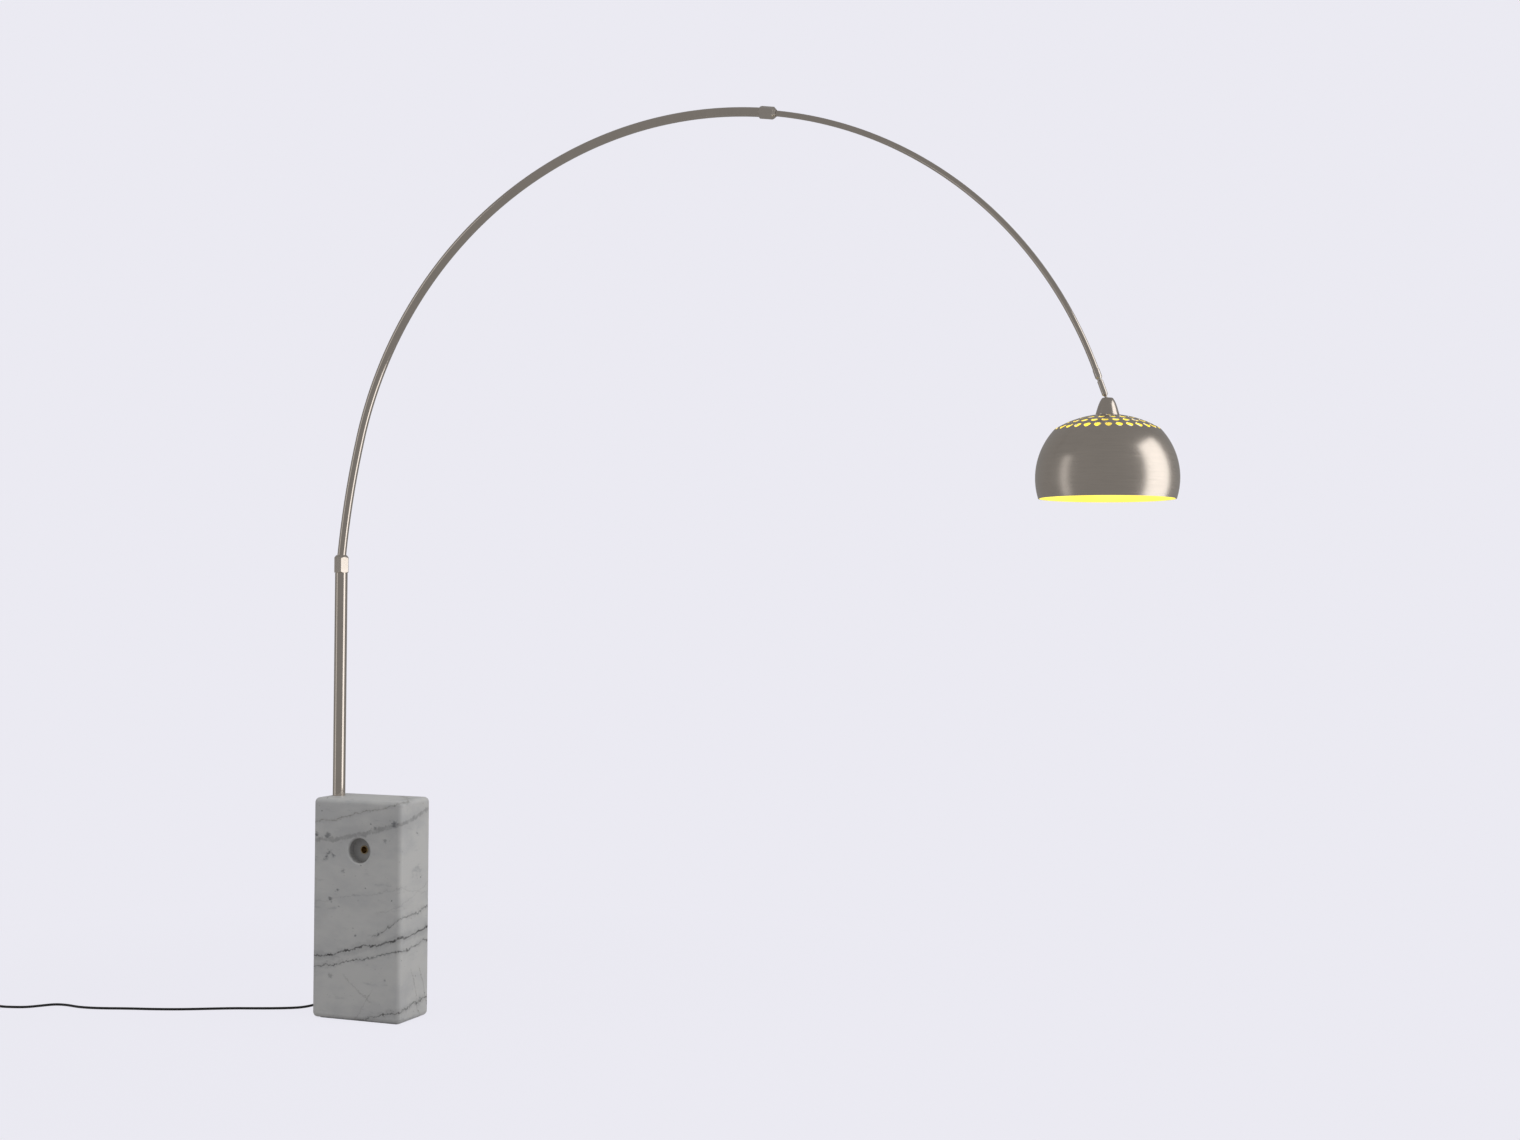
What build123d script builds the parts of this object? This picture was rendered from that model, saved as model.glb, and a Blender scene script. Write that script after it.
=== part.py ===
from build123d import *
import os
from math import cos, degrees, pi, radians, sin, sqrt, tan

# Arc floor lamp: a marble block carries a straight steel pole; a curved tube in two telescoping
# lengths rises from the pole and carries a perforated dome shade.
# Millimetres, +Z up. The origin is the centre of the block's underside, on the floor. The arc lies
# in the plane Y = 0 and reaches towards +X.

# ---- marble block ----
BASE_W = 244.0                    # along X
BASE_D = 134.0                    # along Y
BASE_TOP = 528.0
BASE_ROUND = 12.0
FELT_T = 2.0
FELT_INSET = 14.0
FELT_ROUND = 6.0
CARRY_X = 6.0                     # cross hole for a carrying bar
CARRY_Z = 406.0
CARRY_POCKET_R = 30.0
CARRY_POCKET_DEPTH = 25.0
CARRY_CHAMFER = 2.5
SLEEVE_R = 10.0
SLEEVE_BORE_R = 8.0
SLEEVE_PROUD = 2.0
SLEEVE_CHAMFER = 0.5

# ---- pole and its fixing ----
POLE_X = -BASE_W / 2 + 28.0
POLE_R = 15.0
POLE_BORE_R = 13.0
POLE_FOOT = 74.0
POLE_TOP = 1069.0
RECESS_R = 18.0
RECESS_TOP = 52.0
STUD_R = 6.0
STUD_BORE_R = 3.3
STUD_BOTTOM = 36.0
STUD_TOP = 100.0
STUD_HOLE_R = 7.5
FOOT_PLUG_H = 30.0
WASHER_T = 2.5
FOOT_NUT_T = 10.0
FOOT_NUT_AF = 19.0
BUSH_DEPTH = 70.0                 # how far the bush reaches down into the pole
FIT = 0.05                        # radial clearance of a running fit
EASY = 0.2                        # radial clearance of a loose fit

# ---- lower collar ----
COLLAR_TOP = 1112.0
COLLAR_AF = 33.0
COLLAR_CONE = 9.0
NECK_R = 13.4                     # threaded neck of the bush in the pole's mouth
NECK_TOP = 1094.0
COLLAR_GAP = 0.4                  # between the pole's mouth and the nut
COLLAR_LIP_Z = 9.0                # the nut's inner lip starts this far below its top
COLLAR_LIP_R = 0.8                # radial clearance between the lip and the tube
COLLAR_BREAK = 3.4                # height of the bevel on the nut's lower corners
GRIP_FIT = 0.12                   # radial clearance of the collets on their tubes

# ---- arc ----
ARC_R = 939.7
ARC_X = POLE_X + 963.2            # centre of the arc
ARC_Z = 1173.5
LEAD_START = 6.0                  # slope from vertical where the tube leaves the collar, degrees
LEAD_END = 14.0                   # slope where the true arc begins, degrees
LEAD_BEND_R = 150.0
LOWER_R = 10.5
LOWER_BORE_R = 9.0
SPIGOT_BOTTOM = 960.0
APEX = 81.4                       # middle of the apex collar, degrees above +X seen from the centre
UPPER_R = 6.5
UPPER_BORE_R = 5.4
UPPER_HIDDEN = 104.0              # inner end of the upper tube, degrees
ARC_END = 20.2                    # where the end fitting takes over, degrees
SLIDER_SPAN = 0.9                 # degrees
APEX_AF = 25.0
APEX_HALF = 19.8                  # half the apex collar's length
APEX_CONE = 8.5
APEX_BREAK = 3.2
SLIDER_FIT = 0.1
COLLET_LOW = 0.2                  # the apex collet, from the collar's middle
COLLET_HIGH = 14.4
COLLET_BEND = 10.8                # where its outside starts to taper
COLLET_TAPER = 1.4

# ---- swivel arm, measured along its axis from the end of the arc ----
FERRULE_R = 7.4
FERRULE_END = 20.0
TUBE_IN_FERRULE = 8.0
FERRULE_FLOOR = 7.0               # thickness of the end that the arm's pin turns in
ARM_WASHER_R = 4.6
ARM_WASHER_T = 1.5
LOCK_NUT_AF = 8.4
LOCK_NUT_LOW = 9.2
LOCK_NUT_HIGH = 12.7
PIN_R = 3.0
ARM_FLEX_R = 1.7
ARM_BORE_R = 2.0
ARM_R = 6.2
ARM_SHOULDER = 24.5
ARM_TAPER = 56.0
ARM_NECK = 60.0
BALL_AT = 71.4
BALL_R = 8.0
SOCKET_R = 8.1

# ---- shade and lampholder ----
SHADE_R = 150.0
SHADE_CAP_R = 207.0
SHADE_SHOULDER_R = 110.0
SHADE_Z = 1270.0                  # height of the shade's widest circle
SHADE_RIM = 1226.0
SHADE_T = 1.2
SEAT_R = 26.0
SHADE_WASHER_R = 14.0
SHADE_WASHER_T = 1.5
SHADE_NUT_AF = 14.0
SHADE_NUT_T = 5.0
HEM_T = 1.2                       # the rim is folded in on itself
HEM_H = 3.0
HOLE_R = 7.25
HOLE_RING = 21.0                  # rings of holes are this far apart, and so are the holes in a ring
HOLE_RINGS = (2, 3, 4, 5)
NIPPLE_R = 5.0
NIPPLE_BORE_R = 3.0
HOLDER_TOP = 1393.0
HOLDER_JOINT = 1376.0
HOLDER_BOTTOM = 1336.0
HOLDER_R = 20.5
BULB_BOTTOM = 1255.0
BULB_R = 30.0
GLASS_T = 0.8

# ---- cord, its foot switch, its coil and its plug ----
CORD_R = 3.0
CORD_EXIT_Y = 30.0
CORD_EXIT_Z = 14.0
CORD_JOIN_X = -BASE_W / 2 + 2.0   # where the cord meets the pole's inner flex
CORD_HOLE_R = 5.0
CORD_CHAMBER_W = 28.0
CORD_CHAMBER_ROOM = 10.0          # beyond the exit, sideways
CORD_CHAMBER_TOP = 32.0
FLEX_BEND_R = 11.0
BOOT_LENGTH = 20.0
BOOT_ROOT = 10.0                  # part of the boot inside the block
BOOT_R = 4.9
BOOT_FLANGE_R = 6.6
CORD_HEADING = 200.9              # direction of the cord's far end in plan, degrees from +X
SWITCH_X = -962.0
SWITCH_Y = -292.0
SWITCH_HALF = 36.0
SWITCH_SPLIT = 9.0
SWITCH_TOP = 20.0
SWITCH_W = 34.0
SWITCH_ROUND = 16.5
SWITCH_WALL = 2.0
SWITCH_SCREWS = ((-20, 10), (20, -10))
SCREW_POST_R = 3.6
SCREW_R = 1.3
SCREW_HEAD_R = 2.7
BLOCK_SIZE = (24.0, 16.0, 6.0)    # terminal block under the button
SPRING_R = 4.4
SPRING_WIRE = 0.8
SPRING_BOTTOM = 8.05
BUTTON_BOTTOM = 16.0
BUTTON_FLANGE = 1.8
BUTTON_R = 9.0
BUTTON_TOP = 23.5
COIL_OUTER = 43.5                 # centreline of the outermost turn
COIL_INNER = 23.4                 # centreline of the innermost turn
COIL_LAYER = 2 * CORD_R + 0.2
TRIM_GAP = 0.02                   # between the coil's outer face and the leads cut back to it
COIL_GAP = 64.0                   # free cord between the switch and the coil
COIL_LEAVE = 300.0                # where the last turn leaves the coil, degrees from +X
PLUG_X = -972.0                   # back of the plug's body
PLUG_Y = -382.0
PLUG_HEADING = 15.0
PLUG_L = 36.0
PLUG_NECK = 14.0
PLUG_HALF_H = 6.85
PIN_L = 19.0
PLUG_HALF_W = 17.0
PLUG_EDGE = 2.4
PLUG_NECK_R = 5.2
PIN_SPACING = 18.8
PLUG_PIN_R = 2.0
PLUG_PIN_ROOT = 7.0               # part of each pin inside the plug's body

INNER_FLEX_R = 2.7


def arc_point(angle, radius=ARC_R):
    """Point of the arc at an angle in degrees above +X, seen from the arc's centre."""
    a = radians(angle)
    return (ARC_X + radius * cos(a), 0, ARC_Z + radius * sin(a))


def section_plane(origin, direction):
    """Plane of the arc with its Y axis along direction, for outlines of (radius, distance)."""
    dx, dy, dz = direction
    return Plane(origin=origin, x_dir=(dz, 0, -dx), z_dir=(0, -1, 0))


def turned(plane, outline, mode=Mode.ADD):
    """Revolve a closed outline of (radius, distance) points about the plane's Y axis."""
    with BuildSketch(plane) as section:
        with BuildLine():
            Polyline(*outline, close=True)
        make_face()
    revolve(section.sketch, axis=Axis(plane.origin, plane.y_dir), mode=mode)


def ring(plane, inner, outer, low, high, mode=Mode.ADD):
    """Turned ring or tube between two distances along the plane's Y axis."""
    turned(plane, [(inner, low), (outer, low), (outer, high), (inner, high)], mode)


def hex_nut(plane, bore, across_flats, low, high):
    """Plain hexagon nut: a hexagonal prism with a round bore."""
    base = Plane(origin=plane.from_local_coords((0, low)), z_dir=plane.y_dir)
    with BuildSketch(base) as section:
        RegularPolygon(across_flats / 2, 6, major_radius=False)
        Circle(bore, mode=Mode.SUBTRACT)
    extrude(section.sketch, high - low)


def cord_run(points, radius):
    """Round cord along straight runs joined by arcs as large as their runs allow."""
    spots = [Vector(*p) for p in points]
    runs = [(b - a) for a, b in zip(spots, spots[1:])]
    radii = []
    for before, after in zip(runs, runs[1:]):
        shorter = min(before.length, after.length)
        radii.append(0.45 * shorter / tan(radians(before.get_angle(after)) / 2))
    with BuildLine() as route:
        FilletPolyline(*spots, radius=radii)
    with BuildSketch(Plane(origin=route.line @ 0, z_dir=route.line % 0)) as section:
        Circle(radius)
    sweep(section.sketch, path=route.line)
    length = route.wires()[0].length
    print("cord radii", [round(r) for r in radii], "length", round(length, 1))
    return length


pole_plane = section_plane((POLE_X, 0, 0), (0, 0, 1))
apex_tangent = (sin(radians(APEX)), 0, -cos(radians(APEX)))
apex_plane = section_plane(arc_point(APEX), apex_tangent)
arm_direction = (sin(radians(ARC_END)), 0, -cos(radians(ARC_END)))
arm_plane = section_plane(arc_point(ARC_END), arm_direction)
ball_centre = arm_plane.from_local_coords((0, BALL_AT))
HEAD_X = ball_centre.X
BALL_Z = ball_centre.Z
head_plane = section_plane((HEAD_X, 0, 0), (0, 0, 1))

# ======== marble block and what is in it ========

with BuildPart() as marble_base:
    with Locations((0, 0, FELT_T)):
        Box(BASE_W, BASE_D, BASE_TOP - FELT_T, align=(Align.CENTER, Align.CENTER, Align.MIN))
    fillet(marble_base.edges(), BASE_ROUND)
    ring(pole_plane, 0, POLE_R + EASY, POLE_FOOT - FELT_T, BASE_TOP + 1, Mode.SUBTRACT)
    ring(pole_plane, 0, STUD_HOLE_R, RECESS_TOP - 1, POLE_FOOT, Mode.SUBTRACT)
    ring(pole_plane, 0, RECESS_R, 0, RECESS_TOP, Mode.SUBTRACT)
    with Locations((POLE_X, 0, 0)):
        Box(CORD_CHAMBER_W, CORD_EXIT_Y + CORD_CHAMBER_ROOM, CORD_CHAMBER_TOP,
            align=(Align.CENTER, Align.MIN, Align.MIN), mode=Mode.SUBTRACT)
    with BuildSketch(Plane(origin=(POLE_X, CORD_EXIT_Y, CORD_EXIT_Z), z_dir=(-1, 0, 0))):
        Circle(CORD_HOLE_R)
    extrude(amount=BASE_W, mode=Mode.SUBTRACT)
    for side in (-1, 1):
        face = Plane(origin=(CARRY_X, side * BASE_D / 2, CARRY_Z), z_dir=(0, side, 0))
        with BuildSketch(face):
            Circle(CARRY_POCKET_R)
        extrude(amount=-CARRY_POCKET_DEPTH, mode=Mode.SUBTRACT)
        with BuildSketch(face):
            Circle(CARRY_POCKET_R + CARRY_CHAMFER)
        extrude(amount=-CARRY_CHAMFER, taper=45, mode=Mode.SUBTRACT)
    with BuildSketch(Plane(origin=(CARRY_X, 0, CARRY_Z), z_dir=(0, 1, 0))):
        Circle(SLEEVE_R + FIT)
    extrude(amount=BASE_D / 2, both=True, mode=Mode.SUBTRACT)

with BuildPart() as base_felt:
    with BuildSketch():
        RectangleRounded(BASE_W - 2 * FELT_INSET, BASE_D - 2 * FELT_INSET, FELT_ROUND)
    extrude(amount=FELT_T)

with BuildPart() as carry_sleeve:
    sleeve_half = BASE_D / 2 - CARRY_POCKET_DEPTH + SLEEVE_PROUD
    with BuildSketch(Plane(origin=(CARRY_X, -sleeve_half, CARRY_Z), z_dir=(0, 1, 0))):
        Circle(SLEEVE_R)
        Circle(SLEEVE_BORE_R, mode=Mode.SUBTRACT)
    extrude(amount=2 * sleeve_half)
    sleeve_ends = carry_sleeve.edges().group_by(Axis.Y)
    chamfer(sleeve_ends[0] + sleeve_ends[-1], SLEEVE_CHAMFER)

with BuildPart() as pole_foot_plug:
    ring(pole_plane, STUD_R + FIT, POLE_BORE_R - FIT, POLE_FOOT, POLE_FOOT + FOOT_PLUG_H)

with BuildPart() as foot_stud:
    ring(pole_plane, STUD_BORE_R, STUD_R, STUD_BOTTOM, STUD_TOP)

with BuildPart() as foot_washer:
    ring(pole_plane, STUD_R + EASY, RECESS_R - 2, RECESS_TOP - WASHER_T, RECESS_TOP)

with BuildPart() as foot_nut:
    foot_nut_top = RECESS_TOP - WASHER_T
    hex_nut(pole_plane, STUD_R + FIT, FOOT_NUT_AF, foot_nut_top - FOOT_NUT_T, foot_nut_top)

with BuildPart() as pole_tube:
    ring(pole_plane, POLE_BORE_R, POLE_R, POLE_FOOT - FELT_T + 0.1, POLE_TOP)

with BuildPart() as pole_top_bush:
    bush_bottom = POLE_TOP - BUSH_DEPTH
    turned(pole_plane, [(LOWER_R + FIT, bush_bottom), (POLE_BORE_R - FIT, bush_bottom),
                        (POLE_BORE_R - FIT, POLE_TOP), (NECK_R, POLE_TOP),
                        (NECK_R, NECK_TOP), (LOWER_R + FIT, NECK_TOP)])

with BuildPart() as pole_flex:
    cord_start = (CORD_JOIN_X, CORD_EXIT_Y, CORD_EXIT_Z)
    with BuildLine() as pole_flex_route:
        FilletPolyline(cord_start, (POLE_X, CORD_EXIT_Y, CORD_EXIT_Z), (POLE_X, 0, CORD_EXIT_Z),
                       (POLE_X, 0, SPIGOT_BOTTOM - 10), radius=FLEX_BEND_R)
    with BuildSketch(Plane(origin=cord_start, z_dir=(1, 0, 0))):
        Circle(INNER_FLEX_R)
    sweep(path=pole_flex_route.line)

# ======== lower collar ========

with BuildPart() as collar_nut:
    hex_nut(pole_plane, NECK_R + FIT, COLLAR_AF, POLE_TOP + COLLAR_GAP, COLLAR_TOP)
    corner_r = COLLAR_AF / 2 / cos(radians(30))
    mouth_r = LOWER_R + COLLAR_LIP_R
    turned(pole_plane, [(mouth_r, COLLAR_TOP - 6), (NECK_R + 0.5, COLLAR_TOP - COLLAR_LIP_Z),
                        (NECK_R + 0.5, COLLAR_TOP), (mouth_r, COLLAR_TOP)])
    cone_r = LOWER_R + 2.2
    turned(pole_plane, [(corner_r + 1, COLLAR_TOP - COLLAR_CONE), (corner_r + 1, COLLAR_TOP + 1),
                        (cone_r, COLLAR_TOP + 1), (cone_r, COLLAR_TOP)], Mode.SUBTRACT)
    turned(pole_plane, [(corner_r + 1, POLE_TOP), (corner_r + 1, POLE_TOP + COLLAR_BREAK),
                        (COLLAR_AF / 2 - 0.6, POLE_TOP)], Mode.SUBTRACT)

with BuildPart() as collar_collet:
    turned(pole_plane, [(LOWER_R + GRIP_FIT, NECK_TOP + 0.3), (NECK_R - 0.3, NECK_TOP + 0.3),
                        (NECK_R - 0.3, COLLAR_TOP - 10.5), (LOWER_R + 1.2, COLLAR_TOP - 9.3),
                        (LOWER_R + GRIP_FIT, COLLAR_TOP - 9.3)])

# ======== arc tubes ========

lead_r = (arc_point(180 - LEAD_END)[0] - POLE_X - LEAD_BEND_R * (1 - cos(radians(LEAD_START)))) \
    / (cos(radians(LEAD_START)) - cos(radians(LEAD_END)))
lead_z = arc_point(180 - LEAD_END)[2] - lead_r * (sin(radians(LEAD_END)) - sin(radians(LEAD_START)))
bend_z = lead_z - LEAD_BEND_R * sin(radians(LEAD_START))
LOWER_END = APEX                  # outer end of the lower tube, inside the apex collar


def lower_arc_path(bottom, top_angle):
    """Centreline of the lower tube, from a height in the pole to an angle of the arc."""
    with BuildLine(Plane.XZ) as path:
        spigot = Line((POLE_X, bottom), (POLE_X, bend_z))
        bend = JernArc(spigot @ 1, spigot % 1, LEAD_BEND_R, -LEAD_START)
        lead = JernArc(bend @ 1, bend % 1, lead_r, LEAD_START - LEAD_END)
        JernArc(lead @ 1, lead % 1, ARC_R, top_angle - (180 - LEAD_END))
    return path.line


def arc_path(start, end):
    """Centreline along the true arc, between two angles, towards the shade."""
    with BuildLine(Plane.XZ) as path:
        CenterArc((ARC_X, ARC_Z), ARC_R, start, end - start)
    return path.line


def swept_tube(path, outer, inner):
    """Tube along a path, with the given outer and inner radii; no bore where inner is 0."""
    with BuildSketch(Plane(origin=path @ 0, z_dir=path % 0)) as section:
        Circle(outer)
        if inner > 0:
            Circle(inner, mode=Mode.SUBTRACT)
    sweep(section.sketch, path=path)


with BuildPart() as lower_arc_tube:
    swept_tube(lower_arc_path(SPIGOT_BOTTOM, LOWER_END), LOWER_R, LOWER_BORE_R)

with BuildPart() as lower_arc_flex:
    swept_tube(lower_arc_path(SPIGOT_BOTTOM - 9, 150), INNER_FLEX_R, 0)

with BuildPart() as upper_arc_tube:
    tube_end = ARC_END - degrees(TUBE_IN_FERRULE / ARC_R)
    swept_tube(arc_path(UPPER_HIDDEN, tube_end), UPPER_R, UPPER_BORE_R)

with BuildPart() as tube_slider:
    slider_path = arc_path(UPPER_HIDDEN, UPPER_HIDDEN - SLIDER_SPAN)
    swept_tube(slider_path, LOWER_BORE_R - SLIDER_FIT, UPPER_R + 0.02)

with BuildPart() as upper_arc_flex:
    swept_tube(arc_path(UPPER_HIDDEN + 22, ARC_END + 0.2), INNER_FLEX_R, 0)

# ======== apex collar ========

with BuildPart() as apex_nut:
    hex_nut(apex_plane, LOWER_R + 0.3, APEX_AF, -APEX_HALF, APEX_HALF)
    apex_corner = APEX_AF / 2 / cos(radians(30))
    turned(apex_plane, [(LOWER_R - 1.0, APEX_HALF - 4), (LOWER_R + 0.35, APEX_HALF - 8),
                        (LOWER_R + 0.35, APEX_HALF), (UPPER_R + 0.5, APEX_HALF),
                        (UPPER_R + 0.5, APEX_HALF - 4)])
    turned(apex_plane, [(apex_corner + 1, APEX_HALF - APEX_CONE), (apex_corner + 1, APEX_HALF + 1),
                        (UPPER_R + 1.2, APEX_HALF + 1), (UPPER_R + 1.2, APEX_HALF)], Mode.SUBTRACT)
    turned(apex_plane, [(apex_corner + 1, -APEX_HALF), (apex_corner + 1, APEX_BREAK - APEX_HALF),
                        (APEX_AF / 2 - 0.5, -APEX_HALF)], Mode.SUBTRACT)

with BuildPart() as apex_collet:
    grip_r = UPPER_R + 2 * GRIP_FIT
    turned(apex_plane, [(grip_r, COLLET_LOW), (LOWER_R, COLLET_LOW), (LOWER_R, COLLET_BEND),
                        (LOWER_R - COLLET_TAPER, COLLET_HIGH), (grip_r, COLLET_HIGH)])

# ======== end fitting and swivel arm ========

with BuildPart() as end_ferrule:
    turned(arm_plane, [(UPPER_R + 0.1, -1), (FERRULE_R - 0.5, -1), (FERRULE_R, 0),
                       (FERRULE_R, FERRULE_END - 3), (FERRULE_R - 1.4, FERRULE_END),
                       (PIN_R + FIT, FERRULE_END), (PIN_R + FIT, FERRULE_END - FERRULE_FLOOR),
                       (UPPER_BORE_R, FERRULE_END - FERRULE_FLOOR),
                       (UPPER_BORE_R, TUBE_IN_FERRULE + 0.1),
                       (UPPER_R + 0.1, TUBE_IN_FERRULE + 0.1)])

with BuildPart() as arm_washer:
    ring(arm_plane, PIN_R + 0.1, ARM_WASHER_R, FERRULE_END + 0.1, FERRULE_END + 0.1 + ARM_WASHER_T)

with BuildPart() as arm_lock_nut:
    hex_nut(arm_plane, PIN_R + 0.01, LOCK_NUT_AF, LOCK_NUT_LOW, LOCK_NUT_HIGH)

with BuildPart() as swivel_arm:
    ball_top = BALL_AT - sqrt(BALL_R**2 - PIN_R**2)
    ball_bottom = BALL_AT + sqrt(BALL_R**2 - ARM_BORE_R**2)
    with BuildSketch(arm_plane):
        with BuildLine():
            Polyline((ARM_BORE_R, ball_bottom), (ARM_BORE_R, 9), (PIN_R, 9),
                     (PIN_R, FERRULE_END + 1.7), (4.9, FERRULE_END + 1.7), (4.9, ARM_SHOULDER),
                     (ARM_R, ARM_SHOULDER + 1.2), (ARM_R, ARM_TAPER), (PIN_R, ARM_NECK),
                     (PIN_R, ball_top))
            ThreePointArc((PIN_R, ball_top), (BALL_R, BALL_AT), (ARM_BORE_R, ball_bottom))
        make_face()
    revolve(axis=Axis(arm_plane.origin, arm_plane.y_dir))

with BuildPart() as arm_flex:
    ring(arm_plane, 0, ARM_FLEX_R, -1, ball_bottom)

# ======== crown cap and shade ========

cap_centre_z = SHADE_Z + sqrt(SHADE_R**2 - SHADE_SHOULDER_R**2) \
    - sqrt(SHADE_CAP_R**2 - SHADE_SHOULDER_R**2)
SEAT_Z = cap_centre_z + sqrt(SHADE_CAP_R**2 - SEAT_R**2)
CROWN_TOP = BALL_Z + 7.0
SOCKET_MOUTH = 4.5                # height of the socket's mouth above the ball's centre

with BuildPart() as crown_cap:
    mouth_radius = sqrt(SOCKET_R**2 - SOCKET_MOUTH**2)
    with BuildSketch(head_plane):
        with BuildLine():
            Polyline((8.2, BALL_Z - 2.6), (11.05, BALL_Z - 2.6), (11.05, SEAT_Z + 7),
                     (20, SEAT_Z + 7), (20, SEAT_Z), (25, SEAT_Z), (24.6, SEAT_Z + 2))
            Spline((24.6, SEAT_Z + 2), (20.6, SEAT_Z + 15.5), (15.8, SEAT_Z + 28),
                   (11.6, CROWN_TOP - 0.9))
            Polyline((11.6, CROWN_TOP - 0.9), (10.4, CROWN_TOP), (9.3, CROWN_TOP),
                     (mouth_radius, BALL_Z + SOCKET_MOUTH))
            ThreePointArc((mouth_radius, BALL_Z + SOCKET_MOUTH),
                          (sqrt(SOCKET_R**2 - 2.25**2), BALL_Z + 2.25), (SOCKET_R, BALL_Z))
            Polyline((SOCKET_R, BALL_Z), (8.2, BALL_Z - 2.6))
        make_face()
    revolve(axis=Axis(head_plane.origin, head_plane.y_dir))

with BuildPart() as ball_seat:
    dish_top = BALL_Z - 3.0
    dish_edge = sqrt(SOCKET_R**2 - 3.0**2)
    dish_bottom = BALL_Z - sqrt(SOCKET_R**2 - 3.2**2)
    with BuildSketch(head_plane):
        with BuildLine():
            ThreePointArc((dish_edge, dish_top), (SOCKET_R * sin(radians(45)),
                          BALL_Z - SOCKET_R * cos(radians(45))), (3.2, dish_bottom))
            Polyline((3.2, dish_bottom), (3.2, SEAT_Z + 17), (NIPPLE_R + 0.02, SEAT_Z + 17),
                     (NIPPLE_R + 0.02, SEAT_Z + 8), (11.0, SEAT_Z + 8), (11.0, dish_top),
                     (dish_edge, dish_top))
        make_face()
    revolve(axis=Axis(head_plane.origin, head_plane.y_dir))

with BuildPart() as shade_nipple:
    ring(head_plane, NIPPLE_BORE_R, NIPPLE_R, HOLDER_TOP - 12, SEAT_Z + 16.9)


def on_ball(radius, centre_z, z):
    """Point at a height on a ball centred on the shade's axis, as (radius, height)."""
    return (sqrt(radius**2 - (z - centre_z)**2), z)


def dome_skin(shrink):
    """Where one skin of the dome has its seat, mid cap, shoulder, widest circle and rim."""
    side = SHADE_R - shrink
    cap = SHADE_CAP_R - shrink
    gap = SHADE_Z - cap_centre_z
    shoulder_z = cap_centre_z + (cap**2 - side**2 + gap**2) / (2 * gap)
    seat_z = SEAT_Z - shrink
    return (on_ball(cap, cap_centre_z, seat_z),
            on_ball(cap, cap_centre_z, (seat_z + shoulder_z) / 2),
            on_ball(side, SHADE_Z, shoulder_z), (side, SHADE_Z),
            on_ball(side, SHADE_Z, SHADE_RIM))


with BuildPart() as shade_dome:
    out_seat, out_cap, out_shoulder, out_wide, out_rim = dome_skin(0)
    in_seat, in_cap, in_shoulder, in_wide, in_rim = dome_skin(SHADE_T)
    in_hem = on_ball(SHADE_R - SHADE_T, SHADE_Z, SHADE_RIM + HEM_H)
    with BuildSketch(head_plane):
        with BuildLine():
            Line((0, SEAT_Z), out_seat)
            ThreePointArc(out_seat, out_cap, out_shoulder)
            ThreePointArc(out_shoulder, out_wide, out_rim)
            Polyline(out_rim, (in_rim[0] - HEM_T, SHADE_RIM), (in_rim[0] - HEM_T, SHADE_RIM + HEM_H),
                     in_hem)
            ThreePointArc(in_hem, in_wide, in_shoulder)
            ThreePointArc(in_shoulder, in_cap, in_seat)
            Polyline(in_seat, (0, SEAT_Z - SHADE_T), (0, SEAT_Z))
        make_face()
    revolve(axis=Axis(head_plane.origin, head_plane.y_dir))
    with BuildSketch(Plane(origin=(HEAD_X, 0, SHADE_Z + 60))):
        Circle(NIPPLE_R + EASY)
        for number in HOLE_RINGS:
            with PolarLocations(number * HOLE_RING, 6 * number, start_angle=90 / number):
                Circle(HOLE_R)
    extrude(amount=100, mode=Mode.SUBTRACT)

with BuildPart() as shade_washer:
    washer_bottom = SEAT_Z - SHADE_T - SHADE_WASHER_T
    ring(head_plane, NIPPLE_R + EASY, SHADE_WASHER_R, washer_bottom, SEAT_Z - SHADE_T)

with BuildPart() as shade_nut:
    hex_nut(head_plane, NIPPLE_R + 0.02, SHADE_NUT_AF, washer_bottom - SHADE_NUT_T, washer_bottom)

# ======== lampholder and bulb ========

with BuildPart() as holder_cap:
    turned(head_plane, [(NIPPLE_R + 0.02, HOLDER_TOP), (9, HOLDER_TOP), (11, HOLDER_TOP - 5),
                        (17, HOLDER_TOP - 9), (HOLDER_R, HOLDER_JOINT + 3),
                        (HOLDER_R, HOLDER_JOINT + 0.05), (HOLDER_R - 2, HOLDER_JOINT + 0.05),
                        (HOLDER_R - 4.5, HOLDER_TOP - 11), (NIPPLE_R + 0.02, HOLDER_TOP - 11)])

with BuildPart() as holder_shell:
    turned(head_plane, [(HOLDER_R - 2, HOLDER_JOINT), (HOLDER_R, HOLDER_JOINT),
                        (HOLDER_R - 1.2, HOLDER_BOTTOM), (HOLDER_R - 3.2, HOLDER_BOTTOM)])

with BuildPart() as holder_core:
    turned(head_plane, [(2.2, HOLDER_JOINT - 8), (2.2, HOLDER_JOINT), (HOLDER_R - 3, HOLDER_JOINT),
                        (HOLDER_R - 3.6, HOLDER_JOINT - 12), (14.2, HOLDER_JOINT - 12),
                        (14.2, HOLDER_JOINT - 8)])

with BuildPart() as holder_contact:
    ring(head_plane, 0, 4, HOLDER_JOINT - 10.5, HOLDER_JOINT - 9)
    ring(head_plane, 0, 1.9, HOLDER_JOINT - 9, HOLDER_JOINT - 2)

with BuildPart() as holder_screw_shell:
    ring(head_plane, 13.5, 14.1, HOLDER_BOTTOM + 4, HOLDER_JOINT - 8)

bulb_tip_z = HOLDER_JOINT - 10.6
with BuildPart() as bulb_contact:
    turned(head_plane, [(0, bulb_tip_z), (4.4, bulb_tip_z), (9.5, bulb_tip_z - 4), (0, bulb_tip_z - 4)])

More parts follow.
